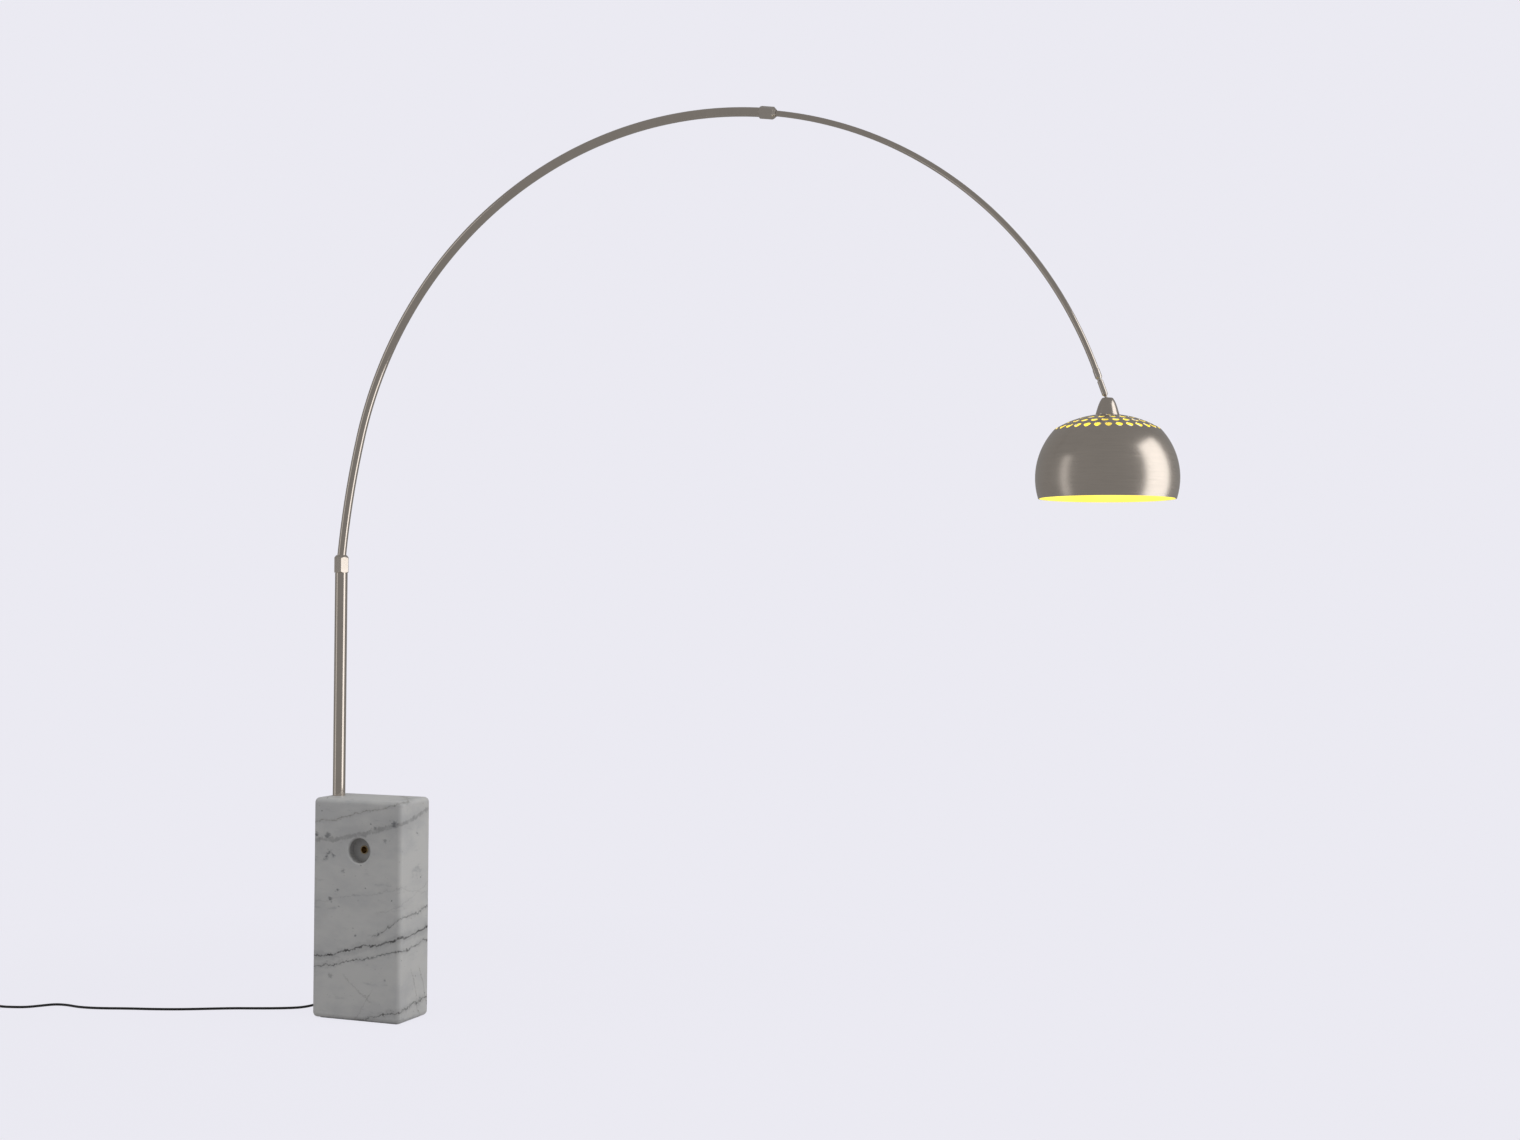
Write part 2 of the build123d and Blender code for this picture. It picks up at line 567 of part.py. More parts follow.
with BuildPart() as bulb_cap:
    turned(head_plane, [(9.6, bulb_tip_z - 4.05), (13.2, bulb_tip_z - 8), (13.2, bulb_tip_z - 27),
                        (0, bulb_tip_z - 27), (0, bulb_tip_z - 4.05)])

glass_top = bulb_tip_z - 27.05
glass_z = BULB_BOTTOM + BULB_R


def bulb_outline(shrink):
    """Half outline of the bulb's glass, open side up, made smaller all round by shrink."""
    ball = BULB_R - shrink
    with BuildSketch(head_plane) as half:
        with BuildLine():
            Polyline((0, glass_top), (14 - shrink, glass_top), (14.5 - shrink, glass_top - 4))
            Spline((14.5 - shrink, glass_top - 4), (21 - shrink, glass_top - 21), (ball, glass_z),
                   tangents=((0.1, -1), (0, -1)))
            ThreePointArc((ball, glass_z), (ball * sin(radians(45)), glass_z - ball * cos(radians(45))),
                          (0, glass_z - ball))
            Line((0, glass_z - ball), (0, glass_top))
        make_face()
    return half.sketch


with BuildPart() as bulb_glass:
    revolve(bulb_outline(0), axis=Axis(head_plane.origin, head_plane.y_dir))
    revolve(bulb_outline(GLASS_T), axis=Axis(head_plane.origin, head_plane.y_dir), mode=Mode.SUBTRACT)

with BuildPart() as head_flex:
    ring(head_plane, 0, ARM_FLEX_R, HOLDER_JOINT + 0.1, SEAT_Z + 20)

# ======== cord: strain relief, route, foot switch, coil and plug ========

cord_bore = CORD_R + FIT

with BuildPart() as cord_boot:
    boot_plane = section_plane((-BASE_W / 2, CORD_EXIT_Y, CORD_EXIT_Z), (-1, 0, 0))
    turned(boot_plane, [(cord_bore, -BOOT_ROOT), (BOOT_R, -BOOT_ROOT), (BOOT_R, 0),
                        (BOOT_FLANGE_R, 0.05), (BOOT_FLANGE_R, 2.5), (BOOT_FLANGE_R - 1, 3.5),
                        (CORD_R + 1.0, BOOT_LENGTH), (cord_bore, BOOT_LENGTH)])

heading = Vector(cos(radians(CORD_HEADING)), sin(radians(CORD_HEADING)), 0)
left = Vector(-heading.Y, heading.X, 0)
switch_centre = Vector(SWITCH_X, SWITCH_Y, 0)
switch_plane = Plane(origin=switch_centre, x_dir=heading, z_dir=(0, 0, 1))
CLAMPED = SWITCH_HALF - 6.0       # the cord's ends inside the switch, from its centre
coil_touch = switch_centre + heading * (SWITCH_HALF + COIL_GAP)
coil_centre = coil_touch + left * COIL_OUTER
COIL_TOP_Z = CORD_R + COIL_LAYER  # centreline of the coil's upper layer


def along(distance, sideways, height):
    """Point on the cord's line through the switch, from the switch's centre."""
    spot = switch_centre + heading * distance + left * sideways
    return (spot.X, spot.Y, height)


def cut_back_to_coil():
    """Trim the part in hand so that it ends at the coil's outer face."""
    with BuildSketch(Plane(origin=(coil_centre.X, coil_centre.Y, -CORD_R))) as trim:
        Circle(COIL_OUTER + CORD_R + TRIM_GAP)
    extrude(trim.sketch, 3 * COIL_TOP_Z, mode=Mode.SUBTRACT)


with BuildPart() as supply_cord:
    supply_length = cord_run([
        (CORD_JOIN_X, CORD_EXIT_Y, CORD_EXIT_Z), (-160, CORD_EXIT_Y, CORD_EXIT_Z), (-197, 17, 3),
        (-241, -14, 3), (-300, -40, 3), (-345, -57, 3), (-392, -82, 3), (-456, -118, 3),
        (-520, -143, 3), (-588, -162, 3), (-650, -186, 3), (-704, -194, 3), (-746, -184, 3),
        (-780, -188, 3), (-800, -216, 3), (-820, -243, 3), (-850, -255, 3), along(-84, 0, CORD_R),
        along(-56, 0, SWITCH_SPLIT), along(-CLAMPED, 0, SWITCH_SPLIT)], CORD_R)

with BuildPart() as cord_coil:
    coil_plane = section_plane((coil_centre.X, coil_centre.Y, 0), (0, 0, 1))
    ring(coil_plane, COIL_INNER - CORD_R, COIL_OUTER + CORD_R, 0, COIL_TOP_Z + CORD_R)
    fillet(cord_coil.edges().filter_by(GeomType.CIRCLE), CORD_R - 0.2)

with BuildPart() as coil_lead:
    lead_length = cord_run([
        along(CLAMPED, 0, SWITCH_SPLIT), along(54, 0, SWITCH_SPLIT), along(80, 0, CORD_R),
        along(SWITCH_HALF + COIL_GAP, 0, CORD_R)], CORD_R)
    cut_back_to_coil()

plug_plane = Plane(origin=(PLUG_X, PLUG_Y, 0), z_dir=(0, 0, 1),
                   x_dir=(cos(radians(PLUG_HEADING)), sin(radians(PLUG_HEADING)), 0))

with BuildPart() as plug_lead:
    leave = radians(COIL_LEAVE)
    tangent = Vector(-sin(leave), cos(leave), 0)
    rim = coil_centre + Vector(cos(leave), sin(leave), 0) * COIL_OUTER
    first = rim + tangent * 16
    plug_back = plug_plane.from_local_coords((1 - PLUG_NECK, 0, PLUG_HALF_H))
    plug_lead_length = cord_run([
        (rim.X, rim.Y, COIL_TOP_Z), (first.X, first.Y, COIL_TOP_Z - 0.6),
        (plug_back.X, plug_back.Y, plug_back.Z)], CORD_R)
    cut_back_to_coil()

coil_turns = 6 + (COIL_LEAVE - CORD_HEADING + 90) / 360
coil_length = 2 * pi * coil_turns * (COIL_INNER + COIL_OUTER) / 2
print("coil", round(coil_turns, 2), "turns,", round(coil_length), "mm; whole cord",
      round(supply_length + 2 * CLAMPED + lead_length + coil_length + plug_lead_length), "mm")

# ======== foot switch ========

with BuildPart() as switch_bottom:
    with BuildSketch(switch_plane):
        RectangleRounded(2 * SWITCH_HALF, SWITCH_W, SWITCH_ROUND)
    extrude(amount=SWITCH_SPLIT)
    fillet(switch_bottom.edges().group_by(Axis.Z)[0], 1.8)
    with BuildSketch(switch_plane.offset(SWITCH_WALL)):
        RectangleRounded(2 * (SWITCH_HALF - SWITCH_WALL), SWITCH_W - 2 * SWITCH_WALL,
                         SWITCH_ROUND - SWITCH_WALL)
    extrude(amount=SWITCH_SPLIT, mode=Mode.SUBTRACT)
    with BuildSketch(switch_plane.offset(1)):
        with Locations(*SWITCH_SCREWS):
            Circle(SCREW_POST_R)
    extrude(amount=SWITCH_SPLIT - 1)
    with BuildSketch(switch_plane):
        with Locations(*SWITCH_SCREWS):
            Circle(SCREW_R + 0.3)
    extrude(amount=SWITCH_SPLIT, mode=Mode.SUBTRACT)
    with BuildSketch(switch_plane):
        with Locations(*SWITCH_SCREWS):
            Circle(SCREW_HEAD_R + EASY)
    extrude(amount=2, mode=Mode.SUBTRACT)
    with BuildSketch(Plane(origin=along(-50, 0, SWITCH_SPLIT), z_dir=heading)):
        Circle(cord_bore)
    extrude(amount=100, mode=Mode.SUBTRACT)

with BuildPart() as switch_top:
    with BuildSketch(switch_plane.offset(SWITCH_SPLIT)):
        RectangleRounded(2 * SWITCH_HALF, SWITCH_W, SWITCH_ROUND)
    extrude(amount=SWITCH_TOP - SWITCH_SPLIT)
    fillet(switch_top.edges().group_by(Axis.Z)[-1], 5)
    with BuildSketch(switch_plane.offset(SWITCH_SPLIT)):
        RectangleRounded(2 * (SWITCH_HALF - SWITCH_WALL), SWITCH_W - 2 * SWITCH_WALL,
                         SWITCH_ROUND - SWITCH_WALL)
    extrude(amount=SWITCH_TOP - SWITCH_SPLIT - 5, mode=Mode.SUBTRACT)
    with BuildSketch(switch_plane.offset(SWITCH_SPLIT)):
        Circle(BUTTON_R + 2.2)
    extrude(amount=SWITCH_TOP - SWITCH_SPLIT - 2, mode=Mode.SUBTRACT)
    with BuildSketch(switch_plane.offset(SWITCH_SPLIT)):
        Circle(BUTTON_R + 0.3)
    extrude(amount=SWITCH_TOP, mode=Mode.SUBTRACT)
    with BuildSketch(switch_plane.offset(SWITCH_SPLIT)):
        with Locations(*SWITCH_SCREWS):
            Circle(SCREW_POST_R)
            Circle(SCREW_R + FIT, mode=Mode.SUBTRACT)
    extrude(amount=7)
    with BuildSketch(Plane(origin=along(-50, 0, SWITCH_SPLIT), z_dir=heading)):
        Circle(cord_bore)
    extrude(amount=100, mode=Mode.SUBTRACT)

with BuildPart() as switch_screws:
    with BuildSketch(switch_plane.offset(0.4)):
        with Locations(*SWITCH_SCREWS):
            Circle(SCREW_HEAD_R)
    extrude(amount=1.6)
    with BuildSketch(switch_plane.offset(0.4)):
        with Locations(*SWITCH_SCREWS):
            Circle(SCREW_R)
    extrude(amount=14)

with BuildPart() as switch_block:
    with BuildSketch(switch_plane.offset(SWITCH_WALL)):
        RectangleRounded(BLOCK_SIZE[0], BLOCK_SIZE[1], 1)
    extrude(amount=BLOCK_SIZE[2])

with BuildPart() as button_spring:
    with BuildSketch(switch_plane.offset(SPRING_BOTTOM)):
        Circle(SPRING_R)
        Circle(SPRING_R - SPRING_WIRE, mode=Mode.SUBTRACT)
    extrude(amount=BUTTON_BOTTOM - FIT - SPRING_BOTTOM)

with BuildPart() as switch_button:
    with BuildSketch(switch_plane.offset(BUTTON_BOTTOM)):
        Circle(BUTTON_R)
    extrude(amount=BUTTON_TOP - BUTTON_BOTTOM)
    fillet(switch_button.edges().group_by(Axis.Z)[-1], 1.5)
    with BuildSketch(switch_plane.offset(BUTTON_BOTTOM)):
        Circle(BUTTON_R + BUTTON_FLANGE)
    extrude(amount=BUTTON_FLANGE)

# ======== plug ========

with BuildPart() as plug_body:
    with BuildSketch(plug_plane):
        with BuildLine():
            Polyline((0, -6), (0, 6), (9, 12), (20, PLUG_HALF_W), (PLUG_L, PLUG_HALF_W),
                     (PLUG_L, -PLUG_HALF_W), (20, -PLUG_HALF_W), (9, -12), close=True)
        make_face()
    extrude(amount=2 * PLUG_HALF_H)
    fillet(plug_body.edges().filter_by(lambda edge: abs(edge.tangent_at(0.5).Z) < 0.5), PLUG_EDGE)
    neck = Plane(origin=plug_plane.from_local_coords((1, 0, PLUG_HALF_H)), z_dir=-plug_plane.x_dir)
    with BuildSketch(neck):
        Circle(PLUG_NECK_R)
    with BuildSketch(neck.offset(PLUG_NECK)):
        Circle(CORD_R + 0.9)
    loft()
    with BuildSketch(neck.offset(PLUG_NECK - 12)):
        Circle(cord_bore)
    extrude(amount=20, mode=Mode.SUBTRACT)
    with BuildSketch(Plane(origin=plug_plane.from_local_coords((PLUG_L + 1, 0, PLUG_HALF_H)),
                           x_dir=plug_plane.y_dir, z_dir=plug_plane.x_dir)):
        with Locations((-PIN_SPACING / 2, 0), (PIN_SPACING / 2, 0)):
            Circle(PLUG_PIN_R + 0.02)
    extrude(amount=-8, mode=Mode.SUBTRACT)

with BuildPart() as plug_pins:
    with BuildSketch(Plane(origin=plug_plane.from_local_coords((PLUG_L - PLUG_PIN_ROOT, 0, PLUG_HALF_H)),
                           x_dir=plug_plane.y_dir, z_dir=plug_plane.x_dir)):
        with Locations((-PIN_SPACING / 2, 0), (PIN_SPACING / 2, 0)):
            Circle(PLUG_PIN_R)
    extrude(amount=PIN_L + PLUG_PIN_ROOT)
    fillet(plug_pins.faces().sort_by(Axis.X)[-2:].edges(), 1.2)

# ======== every piece to its own file ========

pieces = {
    "marble_base": marble_base, "base_felt": base_felt, "carry_sleeve": carry_sleeve,
    "pole_tube": pole_tube, "pole_foot_plug": pole_foot_plug, "foot_stud": foot_stud,
    "foot_washer": foot_washer, "foot_nut": foot_nut, "pole_top_bush": pole_top_bush,
    "pole_flex": pole_flex, "collar_nut": collar_nut, "collar_collet": collar_collet,
    "lower_arc_tube": lower_arc_tube, "lower_arc_flex": lower_arc_flex,
    "apex_nut": apex_nut, "apex_collet": apex_collet, "upper_arc_tube": upper_arc_tube,
    "tube_slider": tube_slider, "upper_arc_flex": upper_arc_flex, "end_ferrule": end_ferrule,
    "arm_washer": arm_washer, "arm_lock_nut": arm_lock_nut, "swivel_arm": swivel_arm,
    "arm_flex": arm_flex, "crown_cap": crown_cap, "ball_seat": ball_seat,
    "shade_nipple": shade_nipple, "shade_dome": shade_dome, "shade_washer": shade_washer,
    "shade_nut": shade_nut, "holder_cap": holder_cap, "holder_shell": holder_shell,
    "holder_core": holder_core, "holder_contact": holder_contact,
    "holder_screw_shell": holder_screw_shell, "bulb_contact": bulb_contact, "bulb_cap": bulb_cap,
    "bulb_glass": bulb_glass, "head_flex": head_flex, "cord_boot": cord_boot,
    "supply_cord": supply_cord, "coil_lead": coil_lead, "cord_coil": cord_coil,
    "plug_lead": plug_lead, "switch_bottom": switch_bottom, "switch_top": switch_top,
    "switch_screws": switch_screws, "switch_block": switch_block,
    "button_spring": button_spring, "switch_button": switch_button,
    "plug_body": plug_body, "plug_pins": plug_pins,
}

os.makedirs("parts", exist_ok=True)
for name, piece in pieces.items():
    piece.part.label = name
    export_step(piece.part, f"parts/{name}.step")
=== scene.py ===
import math

import bpy
from mathutils import Matrix, Vector


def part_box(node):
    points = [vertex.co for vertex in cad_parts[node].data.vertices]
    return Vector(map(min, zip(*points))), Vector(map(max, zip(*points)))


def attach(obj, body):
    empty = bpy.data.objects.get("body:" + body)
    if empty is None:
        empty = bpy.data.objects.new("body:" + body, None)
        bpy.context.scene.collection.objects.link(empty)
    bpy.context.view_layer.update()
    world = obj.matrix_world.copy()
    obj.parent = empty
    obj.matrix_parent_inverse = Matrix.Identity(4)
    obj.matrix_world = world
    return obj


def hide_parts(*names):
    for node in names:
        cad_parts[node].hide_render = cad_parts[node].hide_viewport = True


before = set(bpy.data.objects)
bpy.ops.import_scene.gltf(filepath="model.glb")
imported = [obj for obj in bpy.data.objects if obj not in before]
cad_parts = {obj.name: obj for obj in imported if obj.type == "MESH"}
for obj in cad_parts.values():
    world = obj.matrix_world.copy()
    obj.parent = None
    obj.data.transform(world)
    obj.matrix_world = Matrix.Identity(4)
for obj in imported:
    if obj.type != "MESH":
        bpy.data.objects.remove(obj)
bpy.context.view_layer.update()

# ---------------------------------------------------------------- camera

scene = bpy.context.scene
scene.view_settings.view_transform = "Standard"
scene.view_settings.look = "None"

CAMERA_AZIMUTH = math.radians(20.91)
CAMERA_PITCH = math.radians(0.98)
CAMERA_ROLL = math.radians(0.40)
forward = Vector((-math.sin(CAMERA_AZIMUTH) * math.cos(CAMERA_PITCH),
                  math.cos(CAMERA_AZIMUTH) * math.cos(CAMERA_PITCH), math.sin(CAMERA_PITCH)))
level_right = Vector((math.cos(CAMERA_AZIMUTH), math.sin(CAMERA_AZIMUTH), 0))
level_up = level_right.cross(forward)
camera_right = level_right * math.cos(CAMERA_ROLL) + level_up * math.sin(CAMERA_ROLL)
camera_up = level_up * math.cos(CAMERA_ROLL) - level_right * math.sin(CAMERA_ROLL)

camera_data = bpy.data.cameras.new("camera")
camera_data.lens = 46.37
camera_data.sensor_width = 36
camera = bpy.data.objects.new("camera", camera_data)
scene.collection.objects.link(camera)
camera.matrix_world = Matrix.Translation((2.5609, -4.0914, 1.0015)) @ Matrix(
    (camera_right, camera_up, -forward)).transposed().to_4x4()
scene.camera = camera


def add_object(name, data, body):
    """Link a new object and let it ride on a body."""
    piece = bpy.data.objects.new(name, data)
    scene.collection.objects.link(piece)
    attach(piece, body)
    return piece


# ---------------------------------------------------------------- shader helpers

class Nodes:
    """A material's node tree, with short calls for the nodes used here."""

    def __init__(self, name):
        self.material = bpy.data.materials.new(name)
        self.material.use_nodes = True
        self.tree = self.material.node_tree
        self.tree.nodes.clear()
        self.bsdf = self.add("ShaderNodeBsdfPrincipled")
        self.output = self.add("ShaderNodeOutputMaterial")
        self.link(self.bsdf.outputs[0], self.output.inputs[0])
        self.place = self.add("ShaderNodeTexCoord").outputs["Object"]

    def add(self, kind, **settings):
        node = self.tree.nodes.new(kind)
        for key, value in settings.items():
            setattr(node, key, value)
        return node

    def link(self, source, target):
        self.tree.links.new(source, target)

    def feed(self, socket, value):
        """Link value to the socket if it is an output, or else set it."""
        if isinstance(value, bpy.types.NodeSocket):
            self.link(value, socket)
        else:
            socket.default_value = value

    def math(self, operation, a, b=0.0, clamp=False):
        node = self.add("ShaderNodeMath", operation=operation, use_clamp=clamp)
        self.feed(node.inputs[0], a)
        self.feed(node.inputs[1], b)
        return node.outputs[0]

    def scaled(self, factors, place=None):
        """Coordinates stretched by three factors."""
        node = self.add("ShaderNodeVectorMath", operation="MULTIPLY")
        self.link(self.place if place is None else place, node.inputs[0])
        node.inputs[1].default_value = factors
        return node.outputs[0]

    def dot(self, direction, place=None):
        node = self.add("ShaderNodeVectorMath", operation="DOT_PRODUCT")
        self.link(self.place if place is None else place, node.inputs[0])
        node.inputs[1].default_value = direction
        return node.outputs["Value"]

    def noise(self, scale, detail=4.0, rough=0.5, place=None):
        node = self.add("ShaderNodeTexNoise")
        self.link(self.place if place is None else place, node.inputs["Vector"])
        node.inputs["Scale"].default_value = scale
        node.inputs["Detail"].default_value = detail
        node.inputs["Roughness"].default_value = rough
        return node.outputs["Fac"]

    def span(self, value, low, high, out_low=0.0, out_high=1.0, smooth=False):
        """Map value from one range to another, clamped."""
        node = self.add("ShaderNodeMapRange")
        node.interpolation_type = "SMOOTHSTEP" if smooth else "LINEAR"
        self.link(value, node.inputs[0])
        for socket, number in zip(node.inputs[1:5], (low, high, out_low, out_high)):
            socket.default_value = number
        return node.outputs[0]

    def mix(self, factor, a, b, blend="MIX"):
        node = self.add("ShaderNodeMix", data_type="RGBA", blend_type=blend)
        self.feed(node.inputs[0], factor)
        self.feed(node.inputs[6], a if isinstance(a, bpy.types.NodeSocket) else (*a, 1.0))
        self.feed(node.inputs[7], b if isinstance(b, bpy.types.NodeSocket) else (*b, 1.0))
        return node.outputs[2]

    def bump(self, height, distance, strength=1.0):
        node = self.add("ShaderNodeBump")
        node.inputs["Strength"].default_value = strength
        node.inputs["Distance"].default_value = distance
        self.link(height, node.inputs["Height"])
        self.link(node.outputs[0], self.bsdf.inputs["Normal"])

    def set(self, **sockets):
        """Feed sockets of the main shader, with spaces written as underscores."""
        for name, value in sockets.items():
            socket = self.bsdf.inputs[name.replace("_", " ")]
            if isinstance(value, tuple) and len(socket.default_value) == 4:
                value = (*value, 1.0)
            self.feed(socket, value)


def plain_material(name, colour, roughness, metallic=0.0, grain=900.0, bump=0.00004, vary=0.12,
                   stretch=(1, 1, 1), **sockets):
    """Plain finish with mottled colour, uneven roughness and a fine surface grain."""
    n = Nodes(name)
    place = n.scaled(stretch)
    cloud = n.noise(35.0, 5.0, 0.6)
    fine = n.noise(grain, 3.0, 0.6, place)
    darker = tuple(c * (1 - vary) for c in colour)
    lighter = tuple(min(c * (1 + vary), 1.0) for c in colour)
    n.set(Base_Color=n.mix(n.span(cloud, 0.3, 0.7), darker, lighter),
          Roughness=n.span(n.math("ADD", cloud, n.math("MULTIPLY", fine, 0.5)), 0.5, 1.0,
                           roughness * 0.82, min(roughness * 1.2, 1.0)),
          Metallic=metallic, **sockets)
    n.bump(fine, bump)
    return n.material


# ---------------------------------------------------------------- cord

CORD_HEADING = math.radians(200.9)
SWITCH = Vector((-0.962, -0.292, 0))
heading = Vector((math.cos(CORD_HEADING), math.sin(CORD_HEADING), 0))
side = Vector((-heading.y, heading.x, 0))
CORD_R = 0.003
CORD_Z = 0.003
COIL_OUTER = 0.0435
COIL_INNER = 0.0234
COIL_TOP_Z = CORD_Z + 0.0062
COIL_LAYER_TURNS = 3.11           # turns in each of the coil's two layers
COIL_TURNS = 6.525
STEPS = 20                        # control points in each turn
touch = SWITCH + heading * 0.100
coil_centre = touch + side * COIL_OUTER


def along(distance, height):
    """Point on the cord's line through the foot switch."""
    spot = SWITCH + heading * distance
    return (spot.x, spot.y, height)


route = [
    (-0.120, 0.030, 0.014), (-0.160, 0.030, 0.014), (-0.197, 0.017, CORD_Z),
    (-0.241, -0.014, CORD_Z), (-0.300, -0.040, CORD_Z), (-0.345, -0.057, CORD_Z),
    (-0.392, -0.082, CORD_Z), (-0.456, -0.118, CORD_Z), (-0.520, -0.143, CORD_Z),
    (-0.588, -0.162, CORD_Z), (-0.650, -0.186, CORD_Z), (-0.704, -0.194, CORD_Z),
    (-0.746, -0.184, CORD_Z), (-0.780, -0.188, CORD_Z), (-0.800, -0.216, CORD_Z),
    (-0.820, -0.243, CORD_Z), (-0.850, -0.255, CORD_Z), along(-0.084, CORD_Z),
    along(-0.056, 0.009), along(-0.030, 0.009), along(0.030, 0.009), along(0.054, 0.009),
    along(0.080, CORD_Z)]

start_angle = CORD_HEADING - math.pi / 2
coil_steps = round(COIL_TURNS * STEPS)
pitch = (COIL_OUTER - COIL_INNER) / COIL_LAYER_TURNS
for step in range(coil_steps + 1):
    turns = COIL_TURNS * step / coil_steps
    inward = min(turns, COIL_LAYER_TURNS, COIL_TURNS - turns)
    radius = COIL_OUTER - pitch * max(inward, 0)
    climb = (turns - COIL_LAYER_TURNS) / (COIL_TURNS - 2 * COIL_LAYER_TURNS)
    climb = min(max(climb, 0.0), 1.0)
    climb = climb * climb * (3 - 2 * climb)
    angle = start_angle + 2 * math.pi * turns
    route.append((coil_centre.x + radius * math.cos(angle),
                  coil_centre.y + radius * math.sin(angle), CORD_Z + (COIL_TOP_Z - CORD_Z) * climb))

PLUG = Vector((-0.972, -0.382, 0.00685))
PLUG_HEADING = math.radians(15)
plug_way = Vector((math.cos(PLUG_HEADING), math.sin(PLUG_HEADING), 0))
leave = start_angle + 2 * math.pi * COIL_TURNS
last = Vector(route[-1])
leave_way = Vector((-math.sin(leave), math.cos(leave), 0))
route.append(tuple(last + leave_way * 0.014 - Vector((0, 0, 0.0004))))
route.append(tuple(PLUG - plug_way * 0.020 + Vector((0, 0, 0.0008))))
route.append(tuple(PLUG - plug_way * 0.009))

cord_data = bpy.data.curves.new("cord", "CURVE")
cord_data.dimensions = "3D"
spline = cord_data.splines.new("NURBS")
spline.points.add(len(route) - 1)
for point, spot in zip(spline.points, route):
    point.co = (*spot, 1.0)
    point.radius = CORD_R
spline.order_u = 3
spline.use_endpoint_u = True
spline.resolution_u = 6
cord_data.bevel_depth = 1.0         # times each point's radius
cord_data.bevel_resolution = 6
cord_data.use_fill_caps = True
cord = add_object("cord", cord_data, "base")
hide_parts("supply_cord", "coil_lead", "cord_coil", "plug_lead")

# ---------------------------------------------------------------- curved tubes

POLE_X = -0.094
ARC_CENTRE = (0.8692, 1.1735)
ARC_R = 0.9397
LEAD_START = math.radians(6)      # slope from vertical where the lower tube leaves its collar
LEAD_END = math.radians(14)       # slope where the true arc begins
LEAD_BEND_R = 0.150
SPIGOT_BOTTOM = 0.960
LOWER_TOP = math.radians(180 - 81.4)     # slope at the lower tube's end, in the apex collar
UPPER_START = math.radians(180 - 104)    # slope at the upper tube's hidden end
TUBE_IN_FERRULE = 0.008
UPPER_END = math.radians(180 - 20.2) + TUBE_IN_FERRULE / ARC_R
LOWER_R, LOWER_BORE_R, LOWER_SIDES = 0.0105, 0.0090, 48
UPPER_R, UPPER_BORE_R, UPPER_SIDES = 0.0065, 0.0054, 40
RING_STEP = math.radians(0.9)
SHARP_EDGE = math.radians(40)


def bow(centre, radius, start, end):
    """Points of a bend with the slope from vertical at each, as (x, z, slope)."""
    count = math.ceil((end - start) / RING_STEP)
    slopes = [start + (end - start) * index / count for index in range(count + 1)]
    return [(centre[0] - radius * math.cos(slope), centre[1] + radius * math.sin(slope), slope)
            for slope in slopes]


def lower_path(top_slope):
    """The lower tube's line: upright spigot, short bend, slow bend and true arc."""
    arc_x = ARC_CENTRE[0] - ARC_R * math.cos(LEAD_END)
    arc_z = ARC_CENTRE[1] + ARC_R * math.sin(LEAD_END)
    lead_r = ((arc_x - POLE_X - LEAD_BEND_R * (1 - math.cos(LEAD_START)))
              / (math.cos(LEAD_START) - math.cos(LEAD_END)))
    lead_z = arc_z - lead_r * math.sin(LEAD_END)
    bend_z = lead_z + (lead_r - LEAD_BEND_R) * math.sin(LEAD_START)
    line = [(POLE_X, SPIGOT_BOTTOM, 0.0)]
    line += bow((POLE_X + LEAD_BEND_R, bend_z), LEAD_BEND_R, 0.0, LEAD_START)
    line += bow((arc_x + lead_r * math.cos(LEAD_END), lead_z), lead_r, LEAD_START, LEAD_END)[1:]
    return line + bow(ARC_CENTRE, ARC_R, LEAD_END, top_slope)[1:]


def tube(name, line, outer, bore, around, body, node):
    """Finely built tube along a line in the arc's plane, with its bore, in place of a CAD node."""
    spots, faces = [], []
    for x, z, slope in line:
        for radius in (outer, bore):
            for index in range(around):
                angle = 2 * math.pi * index / around
                out = radius * math.cos(angle)
                spots.append((x - out * math.cos(slope), radius * math.sin(angle),
                              z + out * math.sin(slope)))
    rings = len(line)
    for index in range(around):
        here, there = index, (index + 1) % around
        for ring in range(rings - 1):
            low, high = 2 * around * ring, 2 * around * (ring + 1)
            faces.append((low + here, high + here, high + there, low + there))
            faces.append((low + around + there, high + around + there,
                          high + around + here, low + around + here))
        last = 2 * around * (rings - 1)
        faces.append((here, there, around + there, around + here))
        faces.append((last + around + here, last + around + there, last + there, last + here))
    mesh = bpy.data.meshes.new(name)
    mesh.from_pydata(spots, [], faces)
    mesh.polygons.foreach_set("use_smooth", [True] * len(mesh.polygons))
    mesh.set_sharp_from_angle(angle=SHARP_EDGE)
    piece = add_object(name, mesh, body)
    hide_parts(node)
    return piece


lower_tube = tube("lower_tube", lower_path(LOWER_TOP), LOWER_R, LOWER_BORE_R, LOWER_SIDES,
                  "lower_arc", "lower_arc_tube")
upper_tube = tube("upper_tube", bow(ARC_CENTRE, ARC_R, UPPER_START, UPPER_END),
                  UPPER_R, UPPER_BORE_R, UPPER_SIDES, "upper_arc", "upper_arc_tube")

# ---------------------------------------------------------------- materials

HEAD_X = sum(corner[0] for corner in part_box("shade_dome")) / 2
HEAD_MIDDLE_Z = 1.262
HALF_DEPTH = 0.067                # of the marble block
CARRY_X, CARRY_Z, POCKET_R = 0.006, 0.406, 0.030


def dress(material, *names):
    """Give carried-over CAD nodes a material in every slot."""
    for name in names:
        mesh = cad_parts[name].data
        if not mesh.materials:
            mesh.materials.append(material)
        for index in range(len(mesh.materials)):
            mesh.materials[index] = material


